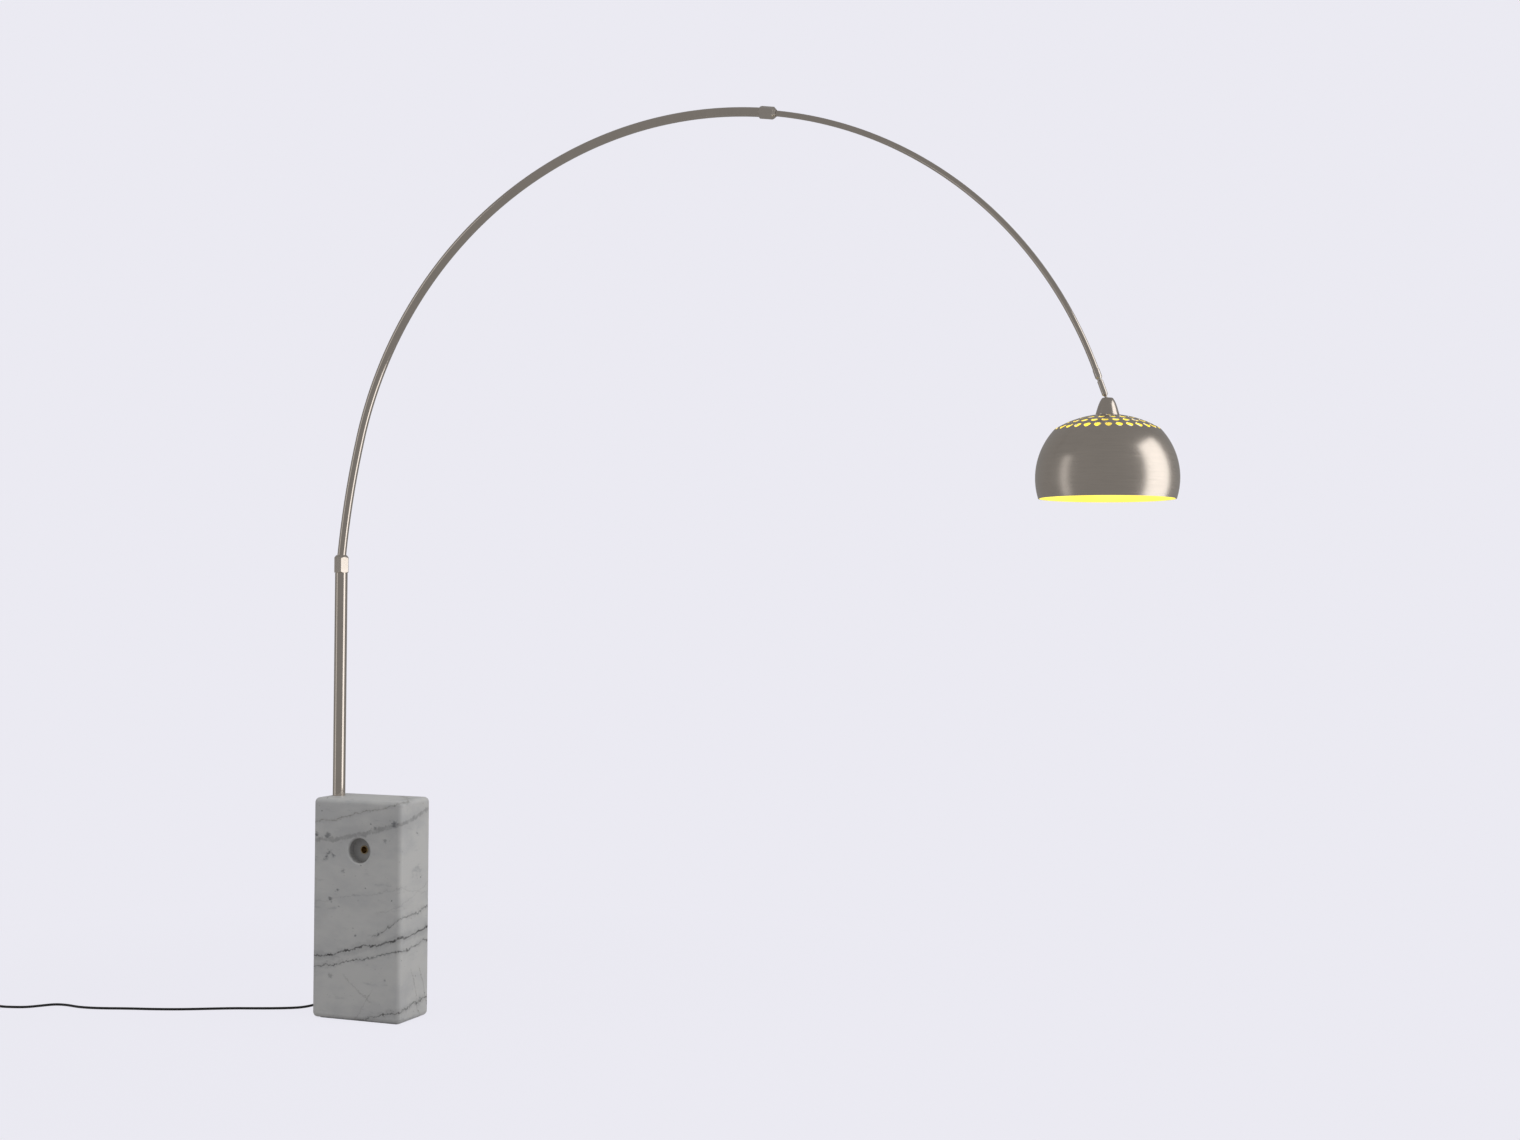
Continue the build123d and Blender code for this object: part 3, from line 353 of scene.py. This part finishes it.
def line_shade(n, height, width, strength):
    """Darkness of one vein, from the distance to its sheet and its width along its run."""
    near = n.math("ABSOLUTE", height)
    return n.math("MULTIPLY", n.span(n.math("DIVIDE", near, width), 0.25, 1.0, 1.0, 0.0, True), strength)


def marble():
    """Pale grey-white stone with sheets of grey and near-black veins that rise gently to the right."""
    n = Nodes("marble")
    axes = n.add("ShaderNodeSeparateXYZ")
    n.link(n.place, axes.inputs[0])
    x, y, z = axes.outputs
    slow = n.math("SUBTRACT", n.noise(11.0, 2.0), 0.5)
    middle = n.math("SUBTRACT", n.noise(42.0, 3.0, 0.65), 0.5)
    quick = n.math("SUBTRACT", n.noise(170.0, 3.0, 0.7), 0.5)
    wander = n.math("ADD", n.math("MULTIPLY", slow, 0.030),
                    n.math("ADD", n.math("MULTIPLY", middle, 0.016), n.math("MULTIPLY", quick, 0.013)))
    patch = n.noise(26.0, 4.0, 0.6)
    thick = n.noise(60.0, 4.0, 0.75)

    cloud = n.noise(7.0, 6.0, 0.62, n.scaled((1.0, 1.0, 1.7)))
    wisps = n.noise(16.0, 8.0, 0.72, n.scaled((0.75, 1.0, 2.2)))
    colour = n.mix(n.span(cloud, 0.38, 0.66, smooth=True), (0.89, 0.885, 0.875), (0.78, 0.78, 0.785))
    colour = n.mix(n.span(wisps, 0.56, 0.72, 0.0, 0.55, True), colour, (0.50, 0.51, 0.53))

    # slope along X, slope along Y, height at the front face's middle, half width, strength,
    # lowest and highest X, and whether the vein is brown
    veins = (
        (0.2415, 0.07, 0.1735, 0.0046, 1.00, -0.2, 0.2, False),
        (0.212, 0.10, 0.1445, 0.0026, 0.85, -0.2, 0.2, False),
        (0.225, 0.22, 0.4465, 0.0110, 0.38, -0.2, 0.2, False),
        (0.250, 0.15, 0.4960, 0.0024, 0.55, -0.2, 0.2, True),
        (0.600, 0.13, 0.1760, 0.0024, 0.75, 0.040, 0.2, False),
        (0.270, 0.07, 0.0050, 0.0028, 0.85, -0.01, 0.2, False),
        (-0.68, 0.10, 0.0800, 0.0012, 0.45, -0.04, 0.05, True),
        (1.40, 0.10, 0.0120, 0.0010, 0.40, -0.01, 0.05, True),
        (0.180, -0.20, 0.3000, 0.0011, 0.22, -0.2, 0.2, False),
        (0.300, 0.35, 0.2420, 0.0010, 0.25, 0.05, 0.2, True),
    )
    for slope_x, slope_y, height, width, strength, low, high, brown in veins:
        sheet = n.math("ADD", n.math("MULTIPLY", x, slope_x),
                       n.math("ADD", n.math("MULTIPLY", n.math("ADD", y, HALF_DEPTH), slope_y), height))
        away = n.math("SUBTRACT", n.math("ADD", z, wander), sheet)
        inside = n.math("MULTIPLY", n.span(x, low, low + 0.012), n.span(x, high - 0.012, high, 1.0, 0.0))
        body = n.math("MULTIPLY", n.span(thick, 0.30, 0.62, 0.25, 1.0), inside)
        core = line_shade(n, away, n.math("MULTIPLY", n.span(thick, 0.25, 0.7, 0.35, 1.0), width),
                          n.math("MULTIPLY", body, strength))
        halo = line_shade(n, away, n.span(patch, 0.35, 0.65, width * 2.0, width * 5.0),
                          n.math("MULTIPLY", inside, strength * 0.30))
        colour = n.mix(halo, colour, (0.42, 0.42, 0.43))
        colour = n.mix(core, colour, (0.20, 0.165, 0.13) if brown else (0.035, 0.033, 0.036))

    # grey blots on the front, as X, Z, radius and strength
    blots = ((-0.085, 0.389, 0.010, 0.75), (-0.076, 0.400, 0.008, 0.6), (-0.066, 0.393, 0.007, 0.6),
             (-0.037, 0.356, 0.006, 0.5), (-0.053, 0.310, 0.006, 0.7), (-0.072, 0.287, 0.007, 0.7),
             (-0.002, 0.204, 0.0045, 0.9), (0.078, 0.433, 0.006, 0.5), (-0.080, 0.440, 0.008, 0.6),
             (-0.113, 0.440, 0.006, 0.7), (0.104, 0.474, 0.010, 0.7), (0.050, 0.462, 0.005, 0.5),
             (0.062, 0.214, 0.004, 0.6), (0.080, 0.105, 0.005, 0.4), (-0.070, 0.105, 0.007, 0.35))
    on_front = n.span(y, -0.060, -0.050, 1.0, 0.0)
    fray = n.math("SUBTRACT", n.noise(150.0, 6.0, 0.8, n.scaled((0.55, 1.0, 1.0))), 0.5)
    ragged = n.math("ADD", n.math("MULTIPLY", middle, 2.0), n.math("MULTIPLY", fray, 4.2))
    for spot_x, spot_z, radius, strength in blots:
        place = n.add("ShaderNodeCombineXYZ")
        n.link(n.math("SUBTRACT", x, spot_x), place.inputs[0])
        n.link(n.math("SUBTRACT", z, spot_z), place.inputs[2])
        reach = n.add("ShaderNodeVectorMath", operation="LENGTH")
        n.link(place.outputs[0], reach.inputs[0])
        inside = n.math("ADD", n.math("DIVIDE", reach.outputs["Value"], radius), ragged)
        colour = n.mix(n.math("MULTIPLY", on_front, n.span(inside, 0.15, 1.05, strength, 0.0, True)),
                       colour, (0.10, 0.105, 0.13))

    # cracks down the right-hand face
    for slope, foot, strength in ((0.45, 0.0703, 0.55), (0.36, 0.0275, 0.45)):
        away = n.math("SUBTRACT", n.math("ADD", y, wander),
                      n.math("SUBTRACT", foot, n.math("MULTIPLY", z, slope)))
        inside = n.math("MULTIPLY", n.span(x, 0.095, 0.110), n.span(z, 0.115, 0.130, 1.0, 0.0))
        colour = n.mix(line_shade(n, away, 0.0013, n.math("MULTIPLY", inside, strength)), colour,
                       (0.12, 0.10, 0.09))

    # painted shade: the bored pockets are painted darker with depth, standing in for the shade inside
    # them, and faintly ringed by the cutter
    place = n.add("ShaderNodeCombineXYZ")
    n.link(n.math("SUBTRACT", x, CARRY_X), place.inputs[0])
    n.link(n.math("SUBTRACT", z, CARRY_Z), place.inputs[2])
    reach = n.add("ShaderNodeVectorMath", operation="LENGTH")
    n.link(place.outputs[0], reach.inputs[0])
    reach = reach.outputs["Value"]
    depth = n.math("SUBTRACT", HALF_DEPTH, n.math("ABSOLUTE", y))
    pocket_shade = n.math("MULTIPLY", n.span(depth, 0.002, 0.012, smooth=True),
                   n.span(reach, POCKET_R, POCKET_R + 0.0025, 1.0, 0.0))
    cut = n.math("SINE", n.math("ADD", n.math("MULTIPLY", n.math("ADD", reach, depth), 2200.0),
                                n.math("MULTIPLY", quick, 6.0)))
    pocket_shade_and_ring_colour = n.mix(n.span(cut, -1.0, 1.0), (0.36, 0.355, 0.35), (0.50, 0.495, 0.49))
    # painted shade laid into the pockets, together with the cutter's rings
    colour = n.mix(n.math("MULTIPLY", pocket_shade, 0.8), colour, pocket_shade_and_ring_colour)

    flecks = n.noise(95.0, 2.0, 0.5, n.scaled((1.0, 1.0, 1.6)))
    colour = n.mix(n.math("MULTIPLY", n.span(flecks, 0.70, 0.78, smooth=True),
                          n.span(patch, 0.45, 0.60)), colour, (0.25, 0.25, 0.26))
    n.set(Base_Color=colour, Roughness=n.span(cloud, 0.3, 0.7, 0.34, 0.46), IOR=1.5,
          Subsurface_Weight=0.06, Subsurface_Radius=(0.012, 0.011, 0.010))
    n.bump(n.math("ADD", n.noise(320.0, 3.0), n.math("MULTIPLY", thick, 1.5)), 0.00005)
    return n.material


def brushed(name, colour, roughness, streaks, anisotropy=0.0, bump=0.000002):
    """Satin metal: fine streaks change the roughness, the colour and the surface a little."""
    n = Nodes(name)
    fine = n.noise(1.0, 4.0, 0.7, streaks(n))
    cloud = n.noise(18.0, 4.0, 0.6)
    smear = n.noise(120.0, 3.0, 0.6)
    dark = tuple(c * 0.94 for c in colour)
    light = tuple(min(c * 1.05, 1.0) for c in colour)
    n.set(Base_Color=n.mix(n.span(n.math("ADD", n.math("MULTIPLY", fine, 0.7),
                                         n.math("MULTIPLY", cloud, 0.3)), 0.36, 0.64), dark, light),
          Metallic=1.0,
          Roughness=n.span(n.math("ADD", n.math("MULTIPLY", fine, 0.6), n.math("MULTIPLY", smear, 0.4)),
                           0.3, 0.7, roughness * 0.90, roughness * 1.12),
          Anisotropic=anisotropy)
    n.bump(fine, bump)
    return n


def rings_about_head(n):
    """Coordinates whose noise makes rings round the shade's axis."""
    move = n.add("ShaderNodeVectorMath", operation="SUBTRACT")
    n.link(n.place, move.inputs[0])
    move.inputs[1].default_value = (HEAD_X, 0, 0)
    axes = n.add("ShaderNodeSeparateXYZ")
    n.link(move.outputs[0], axes.inputs[0])
    x, y, z = axes.outputs
    reach = n.math("SQRT", n.math("ADD", n.math("MULTIPLY", x, x), n.math("MULTIPLY", y, y)))
    made = n.add("ShaderNodeCombineXYZ")
    n.link(n.math("ADD", n.math("MULTIPLY", reach, 900.0), n.math("MULTIPLY", x, 14.0)), made.inputs[0])
    n.link(n.math("MULTIPLY", z, 900.0), made.inputs[1])
    n.link(n.math("MULTIPLY", y, 14.0), made.inputs[2])
    return made.outputs[0]


def rings_up_pole(n):
    """Coordinates whose noise makes rings round an upright tube."""
    return n.scaled((60.0, 60.0, 1400.0))


def rings_along_arc(n):
    """Coordinates whose noise makes rings round the curved tubes."""
    axes = n.add("ShaderNodeSeparateXYZ")
    n.link(n.place, axes.inputs[0])
    x, y, z = axes.outputs
    turn = n.math("ARCTAN2", n.math("SUBTRACT", z, ARC_CENTRE[1]), n.math("SUBTRACT", x, ARC_CENTRE[0]))
    made = n.add("ShaderNodeCombineXYZ")
    n.link(n.math("MULTIPLY", turn, 1300.0), made.inputs[0])
    n.link(n.math("MULTIPLY", y, 60.0), made.inputs[1])
    n.link(n.math("MULTIPLY", z, 20.0), made.inputs[2])
    return made.outputs[0]


STEEL = (0.60, 0.535, 0.475)
PALE_STEEL = (0.64, 0.575, 0.515)


def shade_material():
    """Satin metal outside, and inside a warm enamel whose own emission is painted bulb light, told apart
    by which way the surface faces.
    """
    n = brushed("shade_metal", STEEL, 0.24, rings_about_head, 0.45)
    tangent = n.add("ShaderNodeTangent", direction_type="RADIAL", axis="Z")
    n.link(tangent.outputs[0], n.bsdf.inputs["Tangent"])
    inner = n.add("ShaderNodeBsdfPrincipled")
    # mottle shared by the enamel's colour and its painted light
    enamel_and_light_mottle = n.noise(14.0, 3.0)
    n.link(n.mix(n.span(enamel_and_light_mottle, 0.3, 0.7), (0.50, 0.44, 0.10), (0.56, 0.50, 0.13)),
           inner.inputs["Base Color"])
    inner.inputs["Roughness"].default_value = 0.55
    # painted light: the inner wall's emission stands in for the bulb's light on it, yellow on the wall
    # and more orange towards the crown
    height = n.dot((0, 0, 1))
    painted_wall_light = n.mix(n.span(enamel_and_light_mottle, 0.3, 0.7), (1.0, 0.95, 0.17), (1.0, 0.99, 0.22))
    painted_crown_light = n.mix(n.span(enamel_and_light_mottle, 0.3, 0.7), (0.96, 0.66, 0.07), (1.0, 0.80, 0.10))
    glow = n.mix(n.span(height, 1.25, 1.38), painted_wall_light, painted_crown_light)
    # painted shade: the painted light fades to a dim brown-yellow towards the rim
    n.link(n.mix(n.span(height, 1.15, 1.30, smooth=True), (0.62, 0.45, 0.06), glow),
           inner.inputs["Emission Color"])
    inner.inputs["Emission Strength"].default_value = 1.0
    outward = n.add("ShaderNodeVectorMath", operation="SUBTRACT")
    n.link(n.place, outward.inputs[0])
    outward.inputs[1].default_value = (HEAD_X, 0, HEAD_MIDDLE_Z)
    facing = n.add("ShaderNodeVectorMath", operation="DOT_PRODUCT")
    n.link(n.place.node.outputs["Normal"], facing.inputs[0])
    n.link(outward.outputs[0], facing.inputs[1])
    choose = n.add("ShaderNodeMixShader")
    n.link(n.math("GREATER_THAN", facing.outputs["Value"], -0.02), choose.inputs[0])
    n.link(inner.outputs[0], choose.inputs[1])
    n.link(n.bsdf.outputs[0], choose.inputs[2])
    n.link(choose.outputs[0], n.output.inputs[0])
    return n.material


def glowing_glass():
    """Frosted bulb, lit from inside, a little darker towards its neck."""
    n = Nodes("bulb_frosted")
    axes = n.add("ShaderNodeSeparateXYZ")
    n.link(n.place, axes.inputs[0])
    frost = n.noise(400.0, 3.0)
    n.set(Base_Color=n.mix(frost, (0.95, 0.92, 0.80), (1.0, 0.97, 0.88)), Roughness=0.5,
          Emission_Color=n.mix(n.span(axes.outputs[2], 1.262, 1.338),
                               (1.0, 0.95, 0.62), (1.0, 0.80, 0.25)),
          Emission_Strength=1.3)
    n.bump(frost, 0.00003)
    return n.material


dress(marble(), "marble_base")
dress(brushed("pole_steel", STEEL, 0.11, rings_up_pole).material, "pole_tube")
arc_steel = brushed("arc_steel", STEEL, 0.11, rings_along_arc).material
lower_tube.data.materials.append(arc_steel)
upper_tube.data.materials.append(arc_steel)
dress(brushed("collar_steel", PALE_STEEL, 0.2, rings_up_pole).material,
      "collar_nut", "apex_nut", "end_ferrule", "swivel_arm")
dress(shade_material(), "shade_dome")
dress(brushed("cap_metal", STEEL, 0.2, rings_about_head, 0.3).material, "crown_cap")
dress(glowing_glass(), "bulb_glass")
dress(plain_material("felt", (0.045, 0.045, 0.047), 0.95, grain=1500.0, bump=0.0003, vary=0.3),
      "base_felt")
dress(plain_material("sleeve_brass", (0.50, 0.38, 0.20), 0.3, 1.0, stretch=(1, 0.1, 1)), "carry_sleeve")
dress(plain_material("fixing_zinc", (0.62, 0.62, 0.60), 0.38, 1.0, vary=0.2),
      "pole_foot_plug", "foot_stud", "foot_washer", "foot_nut", "arm_washer", "arm_lock_nut",
      "shade_nipple", "shade_washer", "shade_nut", "switch_screws")
dress(plain_material("bush_brass", (0.68, 0.52, 0.28), 0.32, 1.0), "pole_top_bush")
dress(plain_material("collet_plastic", (0.78, 0.77, 0.72), 0.5), "collar_collet", "apex_collet",
      "tube_slider", "ball_seat")
dress(plain_material("inner_flex", (0.02, 0.02, 0.02), 0.5), "pole_flex", "lower_arc_flex",
      "upper_arc_flex", "arm_flex", "head_flex")
dress(plain_material("holder_plastic", (0.82, 0.80, 0.74), 0.4), "holder_cap", "holder_shell")
dress(plain_material("holder_ceramic", (0.80, 0.79, 0.74), 0.6), "holder_core", "switch_block")
dress(plain_material("contact_brass", (0.72, 0.57, 0.30), 0.3, 1.0), "holder_contact",
      "holder_screw_shell", "bulb_contact")
dress(plain_material("bulb_metal", (0.72, 0.72, 0.72), 0.3, 1.0, stretch=(0.1, 0.1, 1)), "bulb_cap")
dress(plain_material("switch_black", (0.016, 0.016, 0.017), 0.36, grain=1800.0, bump=0.00006),
      "switch_bottom", "switch_top")
dress(plain_material("button_black", (0.024, 0.024, 0.026), 0.5, grain=1200.0, bump=0.0001),
      "switch_button")
dress(plain_material("spring_steel", (0.6, 0.6, 0.6), 0.3, 1.0, stretch=(0.1, 0.1, 2)), "button_spring")
dress(plain_material("plug_black", (0.016, 0.016, 0.016), 0.48, grain=1600.0, bump=0.00006), "plug_body")
dress(plain_material("pin_metal", (0.78, 0.77, 0.75), 0.2, 1.0), "plug_pins")
cord_material = plain_material("cord_black", (0.012, 0.012, 0.013), 0.42, grain=900.0, bump=0.00004)
cord.data.materials.append(cord_material)
dress(cord_material, "cord_boot")

# ---------------------------------------------------------------- stage

BACKDROP = (0.830, 0.823, 0.888)

ROOM_GREY = 0.30                  # the even, dim room round the lamp

world = bpy.data.worlds.new("studio")
world.use_nodes = True
scene.world = world
tree = world.node_tree
tree.nodes.clear()


def stage_node(kind, values=(), **settings):
    """New node in the tree in hand, with its first inputs set or linked in order."""
    node = tree.nodes.new(kind)
    for key, value in settings.items():
        setattr(node, key, value)
    for socket, value in zip(node.inputs, values):
        if isinstance(value, bpy.types.NodeSocket):
            tree.links.new(value, socket)
        elif value is not None:
            socket.default_value = value
    return node


room = stage_node("ShaderNodeBackground", ((ROOM_GREY, ROOM_GREY, ROOM_GREY, 1), 1.0))
seen = stage_node("ShaderNodeBackground", ((*BACKDROP, 1), 1.0))
path = stage_node("ShaderNodeLightPath")
choose = stage_node("ShaderNodeMixShader",
                    (path.outputs["Is Camera Ray"], room.outputs[0], seen.outputs[0]))
stage_node("ShaderNodeOutputWorld", (choose.outputs[0],))

bpy.ops.mesh.primitive_plane_add(size=60, location=(0, 0, 0))
floor = bpy.context.object
floor.name = "floor"
floor_material = bpy.data.materials.new("floor")
floor_material.use_nodes = True
tree = floor_material.node_tree
tree.nodes.clear()
glow = stage_node("ShaderNodeEmission", ((*BACKDROP, 1), 0.93))
matt = stage_node("ShaderNodeBsdfDiffuse", ((0.115, 0.114, 0.123, 1),))
both = stage_node("ShaderNodeAddShader", (glow.outputs[0], matt.outputs[0]))
far = stage_node("ShaderNodeEmission", ((*BACKDROP, 1), 1.0))
where = stage_node("ShaderNodeTexCoord").outputs["Object"]
reach = stage_node("ShaderNodeVectorMath", (where,), operation="LENGTH").outputs["Value"]
fade = stage_node("ShaderNodeMapRange", (reach, 0.7, 1.8, 0.0, 1.0), interpolation_type="SMOOTHSTEP")
near = stage_node("ShaderNodeMixShader", (fade.outputs[0], both.outputs[0], far.outputs[0]))
plain = stage_node("ShaderNodeBsdfDiffuse", ((0.5, 0.495, 0.50, 1),))
clear = stage_node("ShaderNodeBsdfTransparent")
path = stage_node("ShaderNodeLightPath").outputs
unseen = stage_node("ShaderNodeMixShader", (path["Is Glossy Ray"], plain.outputs[0], clear.outputs[0]))
choose = stage_node("ShaderNodeMixShader", (path["Is Camera Ray"], unseen.outputs[0], near.outputs[0]))
stage_node("ShaderNodeOutputMaterial", (choose.outputs[0],))
floor.data.materials.append(floor_material)


def softbox(name, place, target, size, power, in_reflections=True):
    """Large soft light, aimed at a point."""
    data = bpy.data.lights.new(name, "AREA")
    data.shape = "RECTANGLE"
    data.size, data.size_y = size
    data.energy = power
    light = bpy.data.objects.new(name, data)
    scene.collection.objects.link(light)
    light.location = place
    light.rotation_mode = "QUATERNION"
    light.rotation_quaternion = (Vector(target) - Vector(place)).to_track_quat("-Z", "Y")
    light.visible_camera = False
    light.visible_glossy = in_reflections


softbox("key", (5.0, 0.5, 1.5), (0.9, 0, 1.5), (3.0, 6.0), 80)
softbox("fill", (-3.5, -3.0, 1.5), (0.9, 0, 1.5), (1.5, 6.0), 15)
softbox("overhead", (1.0, -0.5, 4.0), (1.0, 0, 0), (3.0, 2.0), 20, in_reflections=False)
